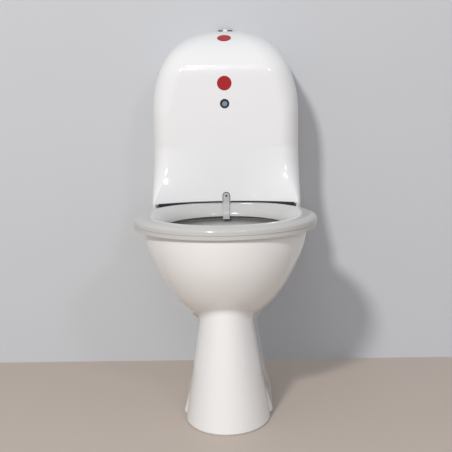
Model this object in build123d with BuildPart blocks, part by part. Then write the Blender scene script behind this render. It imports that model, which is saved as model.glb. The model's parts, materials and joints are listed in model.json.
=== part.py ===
"""Automatic toilet: a floor-standing china pan with a seat ring that turns to be cleaned.

A rear unit under a tall arched cover stands on the pan's deck. Its motor turns the seat ring
through a pinion, while a fixed arm reaches over the ring and wipes it. The same unit holds the
cistern, its valves and the two push buttons. Millimetres, X to the right, Y to the wall, Z up.
Every piece is drawn from the middle of the seat at the height of the pan's rim. When it is saved
it moves to the final frame, whose origin is on the floor midway between the seat and the wall.
"""

import os
from math import cos, pi, sin, sqrt

from build123d import *

os.makedirs("parts", exist_ok=True)

# Overall sizes
seat_r = 200.0
rim_height = 418.0
tank_set_back = 68.0
tank_front_y = seat_r + tank_set_back
tank_deep = 122.0
tank_clear = 10.0
tank_half = 142.0
wall_y = tank_front_y + tank_deep + tank_clear
floor_z = -rim_height
overrun = 20.0
seat_gap = 0.3
run_gap = 0.05

# Pan: bowl
rim_side_inset = 23.0
rim_front_inset = 10.0
rim_half = seat_r - rim_side_inset
rim_widest_y = -10.0
rim_front = seat_r + rim_widest_y - rim_front_inset
deck_behind = 82.0
rim_rear = tank_front_y + deck_behind - rim_widest_y
rim_corner = 50.0
china = 14.0
deck_thick = 26.0
bowl_drop = 200.0
bowl_drop_shares = [0, 0.116, 0.29, 0.466, 0.64, 0.73, 0.816, 0.906, 1.0]
bowl_half_shares = [1.0, 0.985, 0.925, 0.835, 0.722, 0.65, 0.566, 0.452, 0.31]
bowl_front_shares = [1.0, 0.997, 0.965, 0.895, 0.775, 0.69, 0.585, 0.455, 0.3]
bowl_rear_shares = [1.0, 0.997, 0.95, 0.87, 0.76, 0.7, 0.64, 0.58, 0.5]
cavity_side_inset = 65.0
cavity_end_inset = 55.0
cavity_half = seat_r - cavity_side_inset
cavity_length = seat_r - cavity_end_inset
cavity_y = -5.0
cavity_drop_shares = [0, 0.3, 0.526, 0.72, 0.86, 1.0]
cavity_half_shares = [1.0, 0.98, 0.87, 0.63, 0.42, 0.25]
cavity_length_shares = [1.0, 0.98, 0.9, 0.68, 0.46, 0.28]
cavity_shift = 42.0
cavity_drop = 228.0
cavity_shift_shares = [0, 0.06, 0.22, 0.6, 0.92, 1.0]

# Pan: column, foot and floor screws
foot_half = 92.5
foot_front_y = -170.0
foot_front_round = 130.0
foot_rear_y = 250.0
foot_corner = 30.0
neck_z = -138.0
neck_half = 49.0
neck_front_y = -110.0
neck_front_round = 76.0
neck_rear_y = 210.0
neck_fillet = 16.0
flare_half = 100.0
flare_front_y = -42.0
flare_rear_y = 205.0
flare_corner = 40.0
flare_height = 112.0
flare_mid_share = 0.48
flare_mid_half = 84.0
flare_top_half = 70.0
foot_hollow_z = -208.0
foot_step = 2.0
foot_step_high = 2.2
floor_hole_r = 5.0
floor_hole_x = 80.0
floor_hole_y = 60.0
floor_seat_high = 26.0
floor_recess_r = 12.0

# Pan: trap, outlet, flush inlet and deck holes
trap_bore_r = 34.0
trap_wall = 10.0
trap_bend_r = 46.0
trap_sump_z = -214.0
trap_crown_z = -112.0
trap_start_y = 40.0
trap_behind = 12.0
trap_lean = 38.0
trap_crown_y = cavity_y + cavity_length + trap_behind
trap_rise_y = trap_crown_y - trap_lean
outlet_high = 180.0
outlet_clear = 55.0
outlet_run = 89.0
outlet_lean = 34.0
outlet_z = floor_z + outlet_high
outlet_end_y = wall_y - outlet_clear
outlet_turn_y = outlet_end_y - outlet_run
trap_fall_y = outlet_turn_y - outlet_lean
spigot_r = 51.0
spigot_length = 56.0
flush_inset = 47.0
flush_y = tank_front_y + flush_inset
flush_bore_r = 28.0
flush_wall = 8.0
flush_chamber = 48.0
channel_r = 13.0
channel_z = -34.0
deck_hole_r = 7.0
deck_hole_x = 77.5
deck_hole_before = 33.0
deck_hole_y = tank_front_y - deck_hole_before

# Seat ring
seat_crest_inset = 23.0
seat_lip_inset = 68.0
seat_crest_r = seat_r - seat_crest_inset
seat_lip_r = seat_r - seat_lip_inset
seat_crest_z = 29.0
seat_lip_z = 2.0
seat_edge_z = 18.0
seat_skirt_z = 11.5
seat_wall = 4.0
seat_rib_inset = 32.0
seat_rib_r = seat_r - seat_rib_inset
seat_rib_wide = 5.0

# Ring gear, pinion and shaft
gear_inset = 12.0
gear_teeth = 94
pinion_teeth = 10
gear_low_z = 6.0
gear_thick = 4.5
tooth_add_share = 0.8
tooth_root_share = 1.05
tooth_land_share = 0.26
tooth_foot_share = 0.7
gear_pitch_r = seat_r - gear_inset
gear_module = 2 * gear_pitch_r / gear_teeth
pinion_pitch_r = gear_module * pinion_teeth / 2
pinion_y = gear_pitch_r + pinion_pitch_r
shaft_r = 5.0
pinion_hub_r = 7.0
pinion_hub_high = 4.0

# Base ring, glide pads and rim buffers
base_out_inset = 1.0
base_lip_wide = 7.0
base_in_inset = 60.0
base_rail_inset = 53.0
base_out_r = seat_r - base_out_inset
base_lip_in_r = base_out_r - base_lip_wide
base_in_r = seat_r - base_in_inset
base_rail_r = seat_r - base_rail_inset
gear_bore_r = base_rail_r + seat_gap
base_floor = 3.0
base_lip_high = 9.0
base_rail_high = 10.0
base_rail_wall = 4.0
base_notch_gap = 1.5
ear_in_x = 60.0
ear_out_x = 95.0
ear_before = 18.0
ear_rear_y = tank_front_y - ear_before
pad_count = 6
pad_inset = 42.0
pad_mid_r = seat_r - pad_inset
pad_r = 8.0
buffer_count = 4
buffer_r = 11.0

# Chassis on the deck
chassis_sheet = 2.0
chassis_side = 4.0
chassis_half = tank_half + chassis_side
chassis_before = 62.0
chassis_front_y = tank_front_y - chassis_before
chassis_deep = 142.0
chassis_rear_y = chassis_front_y + chassis_deep
base_low_z = chassis_sheet
upright_deep = 127.0
upright_clear = 3.0
upright_rear_y = wall_y - upright_clear
upright_front_y = upright_rear_y - upright_deep
upright_high = 198.0
ledge_wide = 15.0
shelf_z = 46.0
shelf_wide = 22.0
stand_z = 20.0
stand_in_x = 58.0
stand_deep = 52.0
stand_clear = 8.0
stand_rear_y = tank_front_y - stand_clear
stand_front_y = stand_rear_y - stand_deep
stand_mid_y = (stand_front_y + stand_rear_y) / 2
post_x = 31.0
post_wide = 5.0
post_deep = 20.0
bar_low_z = 70.0
bar_high_z = 185.0
bar_tall = 15.0
bar_deep = 6.0

# Back plate on the wall and the latch at its top
plate_half = 100.0
plate_low_z = 60.0
plate_high_z = 300.0
plate_thick = 3.0
plate_hole_r = 4.0
plate_hole_dx = 160.0
plate_hole_dz = 180.0
plate_corner = 12.0
mast_half = 22.0
mast_drop = 13.0
lip_gap = 0.5
lip_above = 4.0
guide_half = 12.0
guide_deep = 12.0
guide_tall = 26.0
latch_half = 5.0
latch_deep = 5.0
latch_tall = 32.5
latch_above = 6.0
latch_chamfer = 0.5
latch_spring_r = 2.2
latch_spring_wire = 0.8

# Deck bolts
bolt_r = 4.0
bolt_head_r = 8.0
bolt_head_high = 5.5
nut_r = 11.0
nut_high = 8.0
bolt_reach = 14.0
washer_r = 14.0
washer_thick = 2.0

# Cistern and its valves
tank_rear_y = tank_front_y + tank_deep
tank_low_z = shelf_z + chassis_sheet + seat_gap
tank_high = 250.0
tank_wall = 3.0
tank_corner = 18.0
lid_thick = 3.0
lid_skirt = 9.0
valve_flange_r = 38.0
valve_flange_high = 6.0
valve_tail_r = 24.0
valve_bore_r = 19.0
valve_tail_end_z = -16.0
cage_mid_r = 34.5
cage_bar_r = 2.5
cage_high = 110.0
cage_ring = 5.0
piston_r = 29.0
piston_thick = 5.0
piston_seal_in_r = 20.5
piston_seal_thick = 3.0
overflow_r = 9.0
overflow_bore_r = 7.0
overflow_top_z = 306.0
tail_nut_r = 32.0
tail_nut_high = 12.0
gasket_thick = 3.2
gasket_r = 36.0
actuator_r = 18.0
actuator_wall = 8.5
actuator_high = 48.0
fill_side = 37.0
fill_x = fill_side - tank_half
fill_inset = 22.0
fill_y = tank_rear_y - fill_inset
fill_r = 8.0
fill_high = 210.0
fill_foot_r = 15.0
fill_foot_high = 5.0
fill_head_r = 16.0
fill_head_high = 24.0
float_r = 17.0
float_high = 40.0
float_gap = 0.5
inlet_r = 10.5
inlet_shoulder = 0.3
inlet_shank_r = inlet_r + inlet_shoulder
inlet_bore_r = 6.0
inlet_end_z = 12.0
inlet_nut_r = 16.0
inlet_nut_high = 7.0

# Gearbox and motor
box_half = 36.0
box_before = 18.0
box_behind = 42.0
box_front_y = pinion_y - box_before
box_rear_y = pinion_y + box_behind
box_low_z = 34.0
box_high = 28.0
box_corner = 6.0
box_split = 16.0
shaft_top = 14.0
motor_r = 18.0
motor_shift = 14.0
motor_y = pinion_y + motor_shift
motor_high = 56.0
motor_cap_high = 5.0
motor_neck_r = 8.0
screw_head_r = 3.0
screw_head_high = 2.0
box_screw_x = 30.0
box_screw_y = 24.0

# Fixed arm over the ring, its screw and its wiper
arm_half = 7.5
arm_gap = 2.2
arm_thick = 2.6
arm_head_z = 44.5
arm_proud = 1.6
arm_tip_drop = 6.0
arm_boss_r = 6.0
arm_screw_r = 1.7
arm_screw_head_r = 2.2
arm_screw_long = 14.0
arm_screw_head_high = 0.8
wiper_half = 6.0
wiper_clear = 0.6

# Cover
cover_wall = 4.0
cover_side_gap = 30.0
cover_widening = 5.0
cover_half = tank_half + cover_side_gap
cover_wall_half = cover_half + cover_widening
cover_flare = 3.0
cover_low_z = 1.5
cover_straight_z = 166.0
spring_z = 236.0
cover_dome_high = 190.0
cover_dome_power_share = 0.71
crown_z = spring_z + cover_dome_high
cover_front_inset = 29.0
cover_front_y = seat_r - cover_front_inset
cover_edge_wide = 44.0
cover_edge_deep = 60.0
cover_edge_top_share = 0.62
cover_roll_z = 322.0
cover_roll_deep = 150.0
ridge_inset = 6.5
ridge_half = cover_half - ridge_inset
ridge_forward = 41.0
corner_outset = 0.5
corner_half = cover_half + corner_outset
corner_deep = 28.0
cover_rise_shares = [0, 0.18, 0.26, 0.35, 0.45, 0.56, 0.68, 0.8, 0.9, 1.0]
cover_spread_shares = [1.0, 1.0, 0.92, 0.74, 0.53, 0.33, 0.17, 0.07, 0.015, 0]
cover_dome_steps = 24
cover_dome_end_share = 0.98
slot_gap_r = 10.5
slot_r = seat_r + slot_gap_r
slot_gap = 2.0
notch_gap = 1.5
notch_fillet = 4.0
hook_wide = 22.0
hook_out_x = cover_wall_half - cover_wall
hook_in_x = hook_out_x - hook_wide
hook_before = 66.0
hook_behind = 16.0
hook_thick = 4.0
latch_slot_half = 18.0
latch_slot_deep = 9.0
latch_slot_low = 12.0

# Push buttons, their switches and the sensor
front_button_z = 306.0
front_button_r = 16.4
top_button_back = 68.0
top_button_y = cover_front_y + top_button_back
top_button_r = 16.0
top_button_drop = 1.5
button_gap = 0.35
button_proud = 0.9
button_thick = 5.0
button_stem_r = 4.0
button_stem_long = 8.0
button_travel = 3.0
button_clear = 0.4
sleeve_wall = 2.0
sleeve_floor = 1.6
dome_r = 8.0
dome_thick = 1.0
dome_high = 3.0
switch_half = 6.0
switch_deep = 7.0
switch_pin_r = 1.8
sensor_z = 259.0
sensor_r = 10.6
sensor_window_r = 6.4
sensor_proud = 0.8
sensor_deep = 16.0
sensor_glass = 2.0

# Cleaning fluid, pump, board and power
bottle_in_x = 66.0
bottle_out_x = 140.0
bottle_deep = 46.0
bottle_high = 124.0
bottle_corner = 12.0
bottle_neck_r = 12.0
bottle_neck_high = 8.0
cap_r = 15.0
cap_high = 9.0
cap_wall = 1.5
pump_x = 82.0
pump_half = 16.0
pump_high = 30.0
pump_head_r = 13.0
pump_head_high = 10.0
tube_r = 2.5
tube_bore_r = 1.5
tube_top_z = 192.0
tube_bend_r = 14.0
power_in_x = 104.0
power_out_x = 144.0
power_deep = 38.0
power_high = 42.0
board_in_x = 36.0
board_out_x = 126.0
board_low_z = 80.0
board_high_z = 200.0
board_thick = 1.6
board_lift = 6.0
board_boss_r = 3.5
board_edge = 7.0
chip_half = 14.0
chip_high = 3.0
relay_half = 9.0
relay_high = 7.0
gland_inset = 50.0
gland_y = wall_y - gland_inset
gland_z = 100.0
gland_r = 8.0
gland_bore_r = 3.5
gland_long = 15.0
cord_hole_r = 9.0


def save(piece, name):
    """Moves a finished piece to the final frame, labels it and writes it as one STEP file."""
    placed = piece.part.moved(Location((0, (seat_r - wall_y) / 2, rim_height)))
    placed.label = name
    export_step(placed, "parts/" + name + ".step")


def block(low_x, high_x, low_y, high_y, low_z, high_z, mode=Mode.ADD):
    """A box between two corners, added to the part that is being built."""
    with Locations((low_x, low_y, low_z)):
        Box(
            high_x - low_x,
            high_y - low_y,
            high_z - low_z,
            align=(Align.MIN, Align.MIN, Align.MIN),
            mode=mode,
        )


def post(x, y, low_z, high_z, radius, mode=Mode.ADD):
    """An upright cylinder between two heights, added to the part that is being built."""
    with Locations((x, y, low_z)):
        Cylinder(
            radius, high_z - low_z, align=(Align.CENTER, Align.CENTER, Align.MIN), mode=mode
        )


def d_section(z, half, front_y, widest_y, rear_y, corner):
    """Plan of the pan at one height: a round front, straight sides and a rounded back."""
    with BuildSketch(Plane.XY.offset(z)) as section:
        with BuildLine():
            EllipticalCenterArc(
                (0, widest_y), half, widest_y - front_y, start_angle=180, arc_size=180
            )
            Line((half, widest_y), (half, rear_y - corner))
            RadiusArc((half, rear_y - corner), (half - corner, rear_y), -corner)
            Line((half - corner, rear_y), (corner - half, rear_y))
            RadiusArc((corner - half, rear_y), (-half, rear_y - corner), -corner)
            Line((-half, rear_y - corner), (-half, widest_y))
        make_face()
    return section.sketch


def bowl_sections(inset, rear_extra):
    """The bowl's outer form from the rim down, drawn in by an inset all round."""
    sections = []
    rows = zip(bowl_drop_shares, bowl_half_shares, bowl_front_shares, bowl_rear_shares)
    for drop_share, half_share, front_share, rear_share in rows:
        half = rim_half * half_share - inset
        front_y = rim_widest_y - rim_front * front_share + inset
        rear_y = rim_widest_y + rim_rear * rear_share + rear_extra
        corner = rim_corner * half_share
        sections.append(
            d_section(-bowl_drop * drop_share, half, front_y, rim_widest_y, rear_y, corner)
        )
    return sections


def flare_section(z, half):
    """Plan of the widened foot behind the column at one height."""
    with BuildSketch(Plane.XY.offset(z)) as section:
        with Locations((0, (flare_front_y + flare_rear_y) / 2)):
            RectangleRounded(2 * half, flare_rear_y - flare_front_y, flare_corner)
    return section.sketch


def cavity_sections(outset):
    """Plans of the bowl's hollow from the rim down, ovals widened by an outset all round."""
    sections = []
    rows = zip(
        cavity_drop_shares, cavity_half_shares, cavity_length_shares, cavity_shift_shares
    )
    for drop_share, half_share, length_share, shift_share in rows:
        z = -(cavity_drop + outset) * drop_share
        with BuildSketch(Plane.XY.offset(z)) as section:
            with Locations((0, cavity_y + cavity_shift * shift_share)):
                Ellipse(
                    cavity_half * half_share + outset, cavity_length * length_share + outset
                )
        sections.append(section.sketch)
    return sections


def column_sections(inset, top_z):
    """Plans of the pan's column on the floor and at a height, drawn in by an inset."""
    sections = []
    for z in (floor_z, top_z):
        share = (z - floor_z) / (neck_z - floor_z)
        front_y = foot_front_y + (neck_front_y - foot_front_y) * share + inset
        front_round = foot_front_round + (neck_front_round - foot_front_round) * share - inset
        sections.append(
            d_section(
                z,
                foot_half + (neck_half - foot_half) * share - inset,
                front_y,
                front_y + front_round,
                foot_rear_y + (neck_rear_y - foot_rear_y) * share - inset,
                foot_corner,
            )
        )
    return sections


# Pan of glazed vitreous china
with BuildPart() as rear_pocket:
    loft(sections=bowl_sections(china, overrun))
    block(
        -rim_half,
        rim_half,
        cavity_y + cavity_length + china,
        wall_y,
        floor_z,
        -deck_thick,
        mode=Mode.INTERSECT,
    )

with BuildPart() as trap_body:
    with BuildLine() as trap_path:
        FilletPolyline(
            (0, trap_start_y, trap_sump_z),
            (0, trap_rise_y, trap_sump_z),
            (0, trap_crown_y, trap_crown_z),
            (0, trap_fall_y, trap_crown_z),
            (0, outlet_turn_y, outlet_z),
            (0, outlet_end_y, outlet_z),
            radius=trap_bend_r,
        )
    with BuildSketch(Plane(trap_path.line @ 0, z_dir=trap_path.line % 0)):
        Circle(trap_bore_r + trap_wall)
    sweep(path=trap_path.line)
    with Locations(Location((0, outlet_end_y, outlet_z), (90, 0, 0))):
        Cylinder(spigot_r, spigot_length, align=(Align.CENTER, Align.CENTER, Align.MIN))

with BuildPart() as trap_bore:
    with BuildSketch(Plane(trap_path.line @ 0, z_dir=trap_path.line % 0)):
        Circle(trap_bore_r)
    sweep(path=trap_path.line)

with BuildPart() as bowl_shell:
    loft(sections=cavity_sections(china))
    block(
        -rim_half, rim_half, -rim_half, wall_y, floor_z, -bowl_drop, mode=Mode.INTERSECT
    )

with BuildPart() as pan:
    loft(sections=bowl_sections(0, 0))
    loft(sections=column_sections(0, neck_z), ruled=True)
    meeting = pan.edges().filter_by_position(Axis.Z, seat_gap - bowl_drop, neck_z - seat_gap)
    fillet(meeting, neck_fillet)
    flare_mid_z = floor_z + flare_height * flare_mid_share
    loft(
        sections=[
            flare_section(floor_z, flare_half),
            flare_section(flare_mid_z, flare_mid_half),
            flare_section(floor_z + flare_height, flare_top_half),
        ],
        ruled=True,
    )
    loft(
        sections=column_sections(china, foot_hollow_z),
        ruled=True,
        mode=Mode.SUBTRACT,
    )
    block(
        -rim_half,
        rim_half,
        floor_z,
        wall_y,
        floor_z,
        floor_z + foot_step_high,
        mode=Mode.SUBTRACT,
    )
    with BuildSketch(Plane.XY.offset(floor_z)):
        add(column_sections(foot_step, neck_z)[0])
        add(flare_section(floor_z, flare_half - foot_step))
        add(column_sections(china, foot_hollow_z)[0], mode=Mode.SUBTRACT)
    extrude(amount=foot_step_high)
    add(rear_pocket.part, mode=Mode.SUBTRACT)
    add(bowl_shell.part)
    add(trap_body.part)
    post(0, flush_y, -flush_chamber - flush_wall, 0, flush_bore_r + flush_wall)
    with Locations(Location((0, flush_y, channel_z), (90, 0, 0))):
        Cylinder(
            channel_r + flush_wall,
            flush_y - cavity_y - cavity_length,
            align=(Align.CENTER, Align.CENTER, Align.MIN),
        )
    loft(sections=cavity_sections(0), mode=Mode.SUBTRACT)
    add(trap_bore.part, mode=Mode.SUBTRACT)
    post(0, flush_y, -flush_chamber, overrun, flush_bore_r, mode=Mode.SUBTRACT)
    with Locations(Location((0, flush_y, channel_z), (90, 0, 0))):
        Cylinder(
            channel_r,
            flush_y - cavity_y - cavity_length / 2,
            align=(Align.CENTER, Align.CENTER, Align.MIN),
            mode=Mode.SUBTRACT,
        )
    for side in (-1, 1):
        x = side * floor_hole_x
        seat_z = floor_z + floor_seat_high
        post(
            side * deck_hole_x,
            deck_hole_y,
            -deck_thick - overrun,
            overrun,
            deck_hole_r,
            mode=Mode.SUBTRACT,
        )
        post(x, floor_hole_y, floor_z, seat_z, floor_recess_r)
        post(x, floor_hole_y, floor_z, seat_z, floor_hole_r, mode=Mode.SUBTRACT)
        post(
            x,
            floor_hole_y,
            seat_z,
            floor_z + flare_height,
            floor_recess_r,
            mode=Mode.SUBTRACT,
        )
save(pan, "pan")

# Seat ring and base ring, turned about the middle of the seat
gear_high_z = gear_low_z + gear_thick
seat_out_wide = seat_r - seat_crest_r
seat_in_wide = seat_crest_r - seat_lip_r
seat_out_high = seat_crest_z - seat_edge_z
seat_in_high = seat_crest_z - seat_lip_z

with BuildPart() as seat_ring:
    with BuildSketch(Plane.XZ):
        with BuildLine():
            Line((seat_r, seat_skirt_z), (seat_r, seat_edge_z))
            EllipticalCenterArc(
                (seat_crest_r, seat_edge_z), seat_out_wide, seat_out_high, 0, arc_size=90
            )
            EllipticalCenterArc(
                (seat_crest_r, seat_lip_z), seat_in_wide, seat_in_high, 90, arc_size=90
            )
            Line((seat_lip_r, seat_lip_z), (seat_lip_r + seat_wall, seat_lip_z))
            EllipticalCenterArc(
                (seat_crest_r, seat_lip_z),
                seat_in_wide - seat_wall,
                seat_in_high - seat_wall,
                180,
                arc_size=-90,
            )
            EllipticalCenterArc(
                (seat_crest_r, seat_edge_z),
                seat_out_wide - seat_wall,
                seat_out_high - seat_wall,
                90,
                arc_size=-90,
            )
            Line((seat_r - seat_wall, seat_edge_z), (seat_r - seat_wall, seat_skirt_z))
            Line((seat_r - seat_wall, seat_skirt_z), (seat_r, seat_skirt_z))
        make_face()
    revolve(axis=Axis.Z)
    rib_top_z = seat_crest_z - seat_wall / 2
    with BuildSketch(Plane.XZ):
        with Locations((seat_rib_r, gear_high_z)):
            Rectangle(seat_rib_wide, rib_top_z - gear_high_z, align=(Align.MIN, Align.MIN))
    revolve(axis=Axis.Z)
save(seat_ring, "seat_ring")

base_floor_z = base_low_z + base_floor
with BuildPart() as base_ring:
    with BuildSketch(Plane.XZ):
        with BuildLine():
            Polyline(
                (base_in_r, base_low_z),
                (base_out_r, base_low_z),
                (base_out_r, base_low_z + base_lip_high),
                (base_lip_in_r, base_low_z + base_lip_high),
                (base_lip_in_r, base_floor_z),
                (base_rail_r, base_floor_z),
                (base_rail_r, base_low_z + base_rail_high),
                (base_rail_r - base_rail_wall, base_low_z + base_rail_high),
                (base_rail_r - base_rail_wall, base_floor_z),
                (base_in_r, base_floor_z),
                close=True,
            )
        make_face()
    revolve(axis=Axis.Z)
    for side in (-1, 1):
        with Locations((side * (ear_in_x + ear_out_x) / 2, base_rail_r, base_low_z)):
            Box(
                ear_out_x - ear_in_x,
                ear_rear_y - base_rail_r,
                base_floor,
                align=(Align.CENTER, Align.MIN, Align.MIN),
            )
        post(
            side * deck_hole_x,
            deck_hole_y,
            base_low_z,
            base_floor_z,
            bolt_r + seat_gap,
            mode=Mode.SUBTRACT,
        )
    pinion_tip_r = pinion_pitch_r + gear_module * tooth_add_share
    post(
        0,
        pinion_y,
        base_floor_z,
        base_low_z + base_lip_high,
        pinion_tip_r + base_notch_gap,
        mode=Mode.SUBTRACT,
    )
save(base_ring, "base_ring")

with BuildPart() as glide_pads:
    with Locations((0, 0, base_floor_z)):
        with PolarLocations(pad_mid_r, pad_count, start_angle=90):
            Cylinder(
                pad_r,
                gear_low_z - seat_gap - base_floor_z,
                align=(Align.CENTER, Align.CENTER, Align.MIN),
            )
save(glide_pads, "glide_pads")

with BuildPart() as rim_buffers:
    with PolarLocations(pad_mid_r, buffer_count, start_angle=45):
        Cylinder(buffer_r, base_low_z, align=(Align.CENTER, Align.CENTER, Align.MIN))
save(rim_buffers, "rim_buffers")


# Ring gear under the seat ring, with the pinion and shaft that turn it
def gear_sketch(centre_y, pitch_r, teeth, first_angle):
    """Outline of a spur gear with straight flanks, its first tooth at the given angle."""
    pitch_angle = 2 * pi / teeth
    tip_r = pitch_r + gear_module * tooth_add_share
    root_r = pitch_r - gear_module * tooth_root_share
    corners = [
        (root_r, -tooth_foot_share / 2),
        (tip_r, -tooth_land_share / 2),
        (tip_r, tooth_land_share / 2),
        (root_r, tooth_foot_share / 2),
    ]
    points = []
    for tooth in range(teeth):
        for radius, share in corners:
            angle = first_angle + (tooth + share) * pitch_angle
            points.append((radius * cos(angle), centre_y + radius * sin(angle)))
    with BuildSketch(Plane.XY.offset(gear_low_z)) as outline:
        with BuildLine():
            Polyline(*points, close=True)
        make_face()
    return outline.sketch


with BuildPart() as ring_gear:
    extrude(gear_sketch(0, gear_pitch_r, gear_teeth, pi / 2), amount=gear_thick)
    post(0, 0, gear_low_z, gear_high_z, gear_bore_r, mode=Mode.SUBTRACT)
save(ring_gear, "ring_gear")

with BuildPart() as drive_pinion:
    extrude(
        gear_sketch(pinion_y, pinion_pitch_r, pinion_teeth, pi / pinion_teeth - pi / 2),
        amount=gear_thick,
    )
    post(0, pinion_y, gear_high_z, gear_high_z + pinion_hub_high, pinion_hub_r)
    post(0, pinion_y, gear_low_z, gear_high_z + pinion_hub_high, shaft_r, mode=Mode.SUBTRACT)
save(drive_pinion, "drive_pinion")

with BuildPart() as drive_shaft:
    post(0, pinion_y, gear_low_z, box_low_z + shaft_top - seat_gap, shaft_r)
save(drive_shaft, "drive_shaft")

with BuildPart() as gearbox_case:
    block(-box_half, box_half, box_front_y, box_rear_y, box_low_z, box_low_z + box_split)
    fillet(gearbox_case.edges().filter_by(Axis.Z), box_corner)
    post(
        0, pinion_y, box_low_z, box_low_z + shaft_top, shaft_r + run_gap, mode=Mode.SUBTRACT
    )
save(gearbox_case, "gearbox_case")

with BuildPart() as gearbox_lid:
    block(
        -box_half,
        box_half,
        box_front_y,
        box_rear_y,
        box_low_z + box_split,
        box_low_z + box_high,
    )
    fillet(gearbox_lid.edges().filter_by(Axis.Z), box_corner)
save(gearbox_lid, "gearbox_lid")

box_top_z = box_low_z + box_high
box_mid_y = (box_front_y + box_rear_y) / 2
with BuildPart() as gearbox_screws:
    with Locations((0, box_mid_y, box_top_z)):
        with GridLocations(2 * box_screw_x, 2 * box_screw_y, 2, 2):
            Cylinder(
                screw_head_r, screw_head_high, align=(Align.CENTER, Align.CENTER, Align.MIN)
            )
save(gearbox_screws, "gearbox_screws")

with BuildPart() as drive_motor:
    post(0, motor_y, box_top_z, box_top_z + motor_high, motor_r)
    fillet(drive_motor.edges().group_by(Axis.Z)[-1], screw_head_r)
    post(
        0,
        motor_y,
        box_top_z + motor_high,
        box_top_z + motor_high + motor_cap_high,
        motor_neck_r,
    )
save(drive_motor, "drive_motor")

# Chassis on the deck, bent from steel sheet
chassis_top_z = chassis_sheet
upright_top_z = chassis_top_z + upright_high
with BuildPart() as chassis:
    block(
        -chassis_half, chassis_half, chassis_front_y, chassis_rear_y, 0, chassis_top_z
    )
    post(0, flush_y, 0, chassis_top_z, gasket_r + seat_gap, mode=Mode.SUBTRACT)
    for side in (-1, 1):
        inner_x = side * (chassis_half - chassis_sheet)
        outer_x = side * chassis_half
        low_x, high_x = sorted((inner_x, outer_x))
        block(
            low_x, high_x, upright_front_y, upright_rear_y, 0, upright_top_z
        )
        low_x, high_x = sorted((inner_x, side * (chassis_half + ledge_wide)))
        block(
            low_x,
            high_x,
            upright_front_y,
            upright_rear_y,
            upright_top_z - chassis_sheet,
            upright_top_z,
        )
        low_x, high_x = sorted((inner_x, inner_x - side * shelf_wide))
        block(
            low_x,
            high_x,
            upright_front_y,
            upright_rear_y,
            shelf_z,
            shelf_z + chassis_sheet,
        )
        low_x, high_x = sorted((side * stand_in_x, inner_x))
        block(
            low_x, high_x, stand_front_y, stand_rear_y, stand_z, stand_z + chassis_sheet
        )
        block(
            low_x, high_x, stand_rear_y - chassis_sheet, stand_rear_y, chassis_top_z, stand_z
        )
        low_x, high_x = sorted((side * post_x, side * (post_x + post_wide)))
        block(low_x, high_x, box_rear_y - post_deep, box_rear_y, chassis_top_z, box_low_z)
        post(
            side * deck_hole_x,
            deck_hole_y,
            0,
            chassis_top_z,
            bolt_r + seat_gap,
            mode=Mode.SUBTRACT,
        )
    for bar_z in (bar_low_z, bar_high_z):
        block(
            chassis_sheet - chassis_half,
            chassis_half - chassis_sheet,
            upright_rear_y - bar_deep,
            upright_rear_y,
            bar_z,
            bar_z + bar_tall,
        )
save(chassis, "chassis")

with BuildPart() as deck_bolts:
    for side in (-1, 1):
        x = side * deck_hole_x
        head_z = base_floor_z + washer_thick
        post(x, deck_hole_y, -deck_thick - bolt_reach, head_z, bolt_r)
        post(x, deck_hole_y, head_z, head_z + bolt_head_high, bolt_head_r)
save(deck_bolts, "deck_bolts")

with BuildPart() as deck_washers:
    for side in (-1, 1):
        x = side * deck_hole_x
        post(x, deck_hole_y, base_floor_z, base_floor_z + washer_thick, washer_r)
        post(
            x,
            deck_hole_y,
            base_floor_z,
            base_floor_z + washer_thick,
            bolt_r,
            mode=Mode.SUBTRACT,
        )
save(deck_washers, "deck_washers")

with BuildPart() as deck_nuts:
    for side in (-1, 1):
        nut_top_z = -deck_thick
        with BuildSketch(Plane.XY.offset(nut_top_z - nut_high)):
            with Locations((side * deck_hole_x, deck_hole_y)):
                RegularPolygon(nut_r, 6)
                Circle(bolt_r, mode=Mode.SUBTRACT)
        extrude(amount=nut_high)
save(deck_nuts, "deck_nuts")

# Back plate with its mast, and the latch that holds the cover
mast_high_z = crown_z - mast_drop
guide_low_z = mast_high_z - guide_tall
latch_mid_y = wall_y - guide_deep / 2
latch_high_z = crown_z + latch_above
with BuildPart() as back_plate:
    block(
        -plate_half, plate_half, wall_y - plate_thick, wall_y, plate_low_z, plate_high_z
    )
    fillet(back_plate.edges().filter_by(Axis.Y), plate_corner)
    block(
        -mast_half,
        mast_half,
        wall_y - plate_thick,
        wall_y,
        plate_high_z - plate_corner,
        mast_high_z,
    )
    block(
        -guide_half, guide_half, wall_y - guide_deep, wall_y, guide_low_z, mast_high_z
    )
    block(
        lip_gap - latch_slot_half,
        latch_slot_half - lip_gap,
        wall_y - latch_slot_deep + lip_gap,
        wall_y,
        mast_high_z,
        crown_z + lip_above,
    )
    block(
        -latch_half - seat_gap,
        latch_half + seat_gap,
        latch_mid_y - latch_deep / 2 - seat_gap,
        latch_mid_y + latch_deep / 2 + seat_gap,
        guide_low_z + plate_thick,
        crown_z + lip_above,
        mode=Mode.SUBTRACT,
    )
    with Locations(
        Location((0, wall_y, (plate_low_z + plate_high_z) / 2), (90, 0, 0))
    ):
        with GridLocations(plate_hole_dx, plate_hole_dz, 2, 2):
            Cylinder(plate_hole_r, 4 * plate_thick, mode=Mode.SUBTRACT)
save(back_plate, "back_plate")

with BuildPart() as latch_tab:
    block(
        -latch_half,
        latch_half,
        latch_mid_y - latch_deep / 2,
        latch_mid_y + latch_deep / 2,
        latch_high_z - latch_tall,
        latch_high_z,
    )
    chamfer(latch_tab.edges().group_by(Axis.Z)[-1], latch_chamfer)
save(latch_tab, "latch_tab")

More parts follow.
